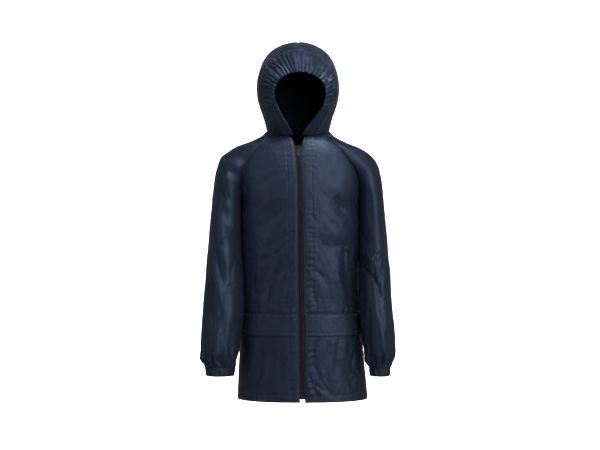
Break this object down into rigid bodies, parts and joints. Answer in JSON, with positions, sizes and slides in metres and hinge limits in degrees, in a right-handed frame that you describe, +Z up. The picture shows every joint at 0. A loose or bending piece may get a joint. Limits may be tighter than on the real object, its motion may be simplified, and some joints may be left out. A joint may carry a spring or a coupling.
{
  "type": "kids raincoat",
  "caption": "Hooded, zip-fronted child's raincoat in coated nylon, with raglan sleeves, gathered cuffs, a gathered face opening and waist pocket flaps.",
  "frame": {"origin": "middle of the neck, level with the front end of the neck seam, where the wearer's shoulders below it carry the coat", "axes": "+Z up, -Y the front, +X the wearer's left"},
  "size_m": [0.401, 0.2077, 0.7462],
  "materials": {
    "coated_nylon": "dark navy coated nylon with a soft sheen",
    "zip_tape": "matt black woven polyester tape",
    "zip_teeth": "black moulded plastic",
    "zip_metal": "dark grey enamelled metal"
  },
  "bodies": {
    "coat": {"front_left": "coated_nylon", "front_right": "coated_nylon", "back": "coated_nylon", "flap_left": "coated_nylon", "flap_right": "coated_nylon", "sleeve_left": "coated_nylon", "sleeve_right": "coated_nylon", "hood_left": "coated_nylon", "hood_right": "coated_nylon", "hood_band": "coated_nylon", "zip_tape_left": "zip_tape", "zip_tape_right": "zip_tape", "zip_chain": "zip_teeth", "zip_box": "zip_teeth", "zip_slider": "zip_metal"},
    "pull_tab": {"pull_tab": "zip_metal"}
  },
  "joints": [
    {"name": "pull_tab_swing", "type": "hinge", "parent": "coat", "child": "pull_tab", "pos_m": [0.00086, -0.07612, -0.02072], "axis": [-1, 0, 0], "range_deg": [0, 180]}
  ]
}
